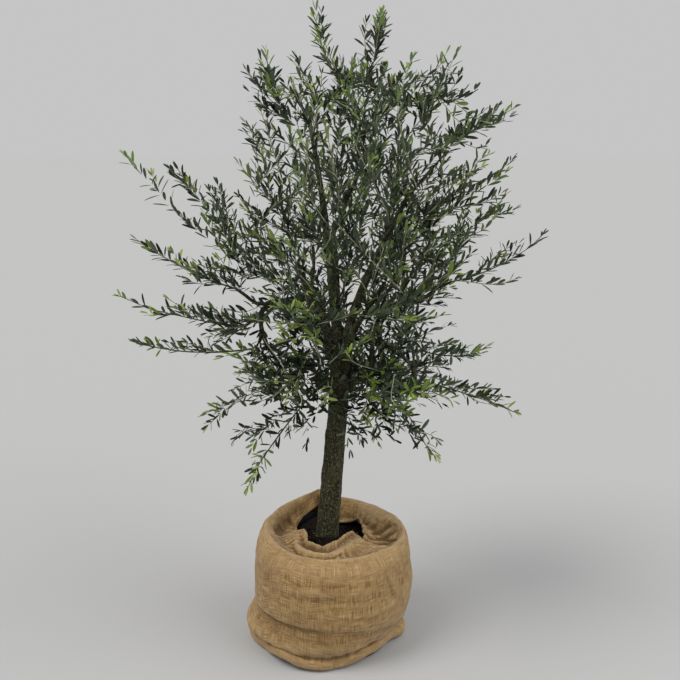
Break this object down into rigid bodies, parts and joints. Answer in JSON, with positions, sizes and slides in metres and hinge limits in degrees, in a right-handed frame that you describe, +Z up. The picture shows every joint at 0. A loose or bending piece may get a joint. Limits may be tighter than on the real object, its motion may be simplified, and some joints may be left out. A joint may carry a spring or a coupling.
{
  "type": "potted olive tree",
  "caption": "Half-standard olive tree with an airy crown of narrow grey-green leaves, in a nursery pot dressed in a rolled-top burlap sack.",
  "frame": {"origin": "centre of the pot's flat underside, on the surface the pot stands on", "axes": "+Z up along the tree, +X to the right and +Y to the back as seen from the front"},
  "size_m": [1.3136, 0.9808, 1.995],
  "materials": {
    "burlap": "matte",
    "pot": "satin",
    "soil": "matte",
    "bark": "matte",
    "foliage": "satin"
  },
  "bodies": {
    "root": {"bough_back": "bark", "bough_front": "bark", "bough_leader_left": "bark", "bough_leader_right": "bark", "bough_left": "bark", "bough_low_left": "bark", "bough_low_right": "bark", "bough_right": "bark", "burlap_wrap": "burlap", "foliage_back_left": "foliage", "foliage_back_long": "foliage", "foliage_back_low": "foliage", "foliage_droop_back": "foliage", "foliage_droop_front_left": "foliage", "foliage_droop_front_right": "foliage", "foliage_droop_left": "foliage", "foliage_front_long": "foliage", "foliage_front_low": "foliage", "foliage_left_high": "foliage", "foliage_left_long": "foliage", "foliage_left_low": "foliage", "foliage_left_middle": "foliage", "foliage_left_steep": "foliage", "foliage_right_crest": "foliage", "foliage_right_droop": "foliage", "foliage_right_high": "foliage", "foliage_right_long": "foliage", "foliage_right_low": "foliage", "foliage_right_middle": "foliage", "foliage_shoulder_1": "foliage", "foliage_shoulder_2": "foliage", "foliage_shoulder_3": "foliage", "foliage_shoulder_4": "foliage", "foliage_shoulder_5": "foliage", "foliage_skirt_1": "foliage", "foliage_skirt_2": "foliage", "foliage_skirt_3": "foliage", "foliage_skirt_4": "foliage", "foliage_skirt_5": "foliage", "foliage_spire_leader": "foliage", "foliage_spire_left": "foliage", "foliage_spire_middle": "foliage", "foliage_top_1": "foliage", "foliage_top_2": "foliage", "foliage_top_3": "foliage", "foliage_top_4": "foliage", "foliage_upper_1": "foliage", "foliage_upper_2": "foliage", "foliage_upper_3": "foliage", "foliage_upper_4": "foliage", "foliage_waist_1": "foliage", "foliage_waist_2": "foliage", "foliage_waist_3": "foliage", "foliage_waist_4": "foliage", "foliage_waist_5": "foliage", "foliage_waist_6": "foliage", "pot": "pot", "soil": "soil", "trunk": "bark"}
  },
  "joints": []
}
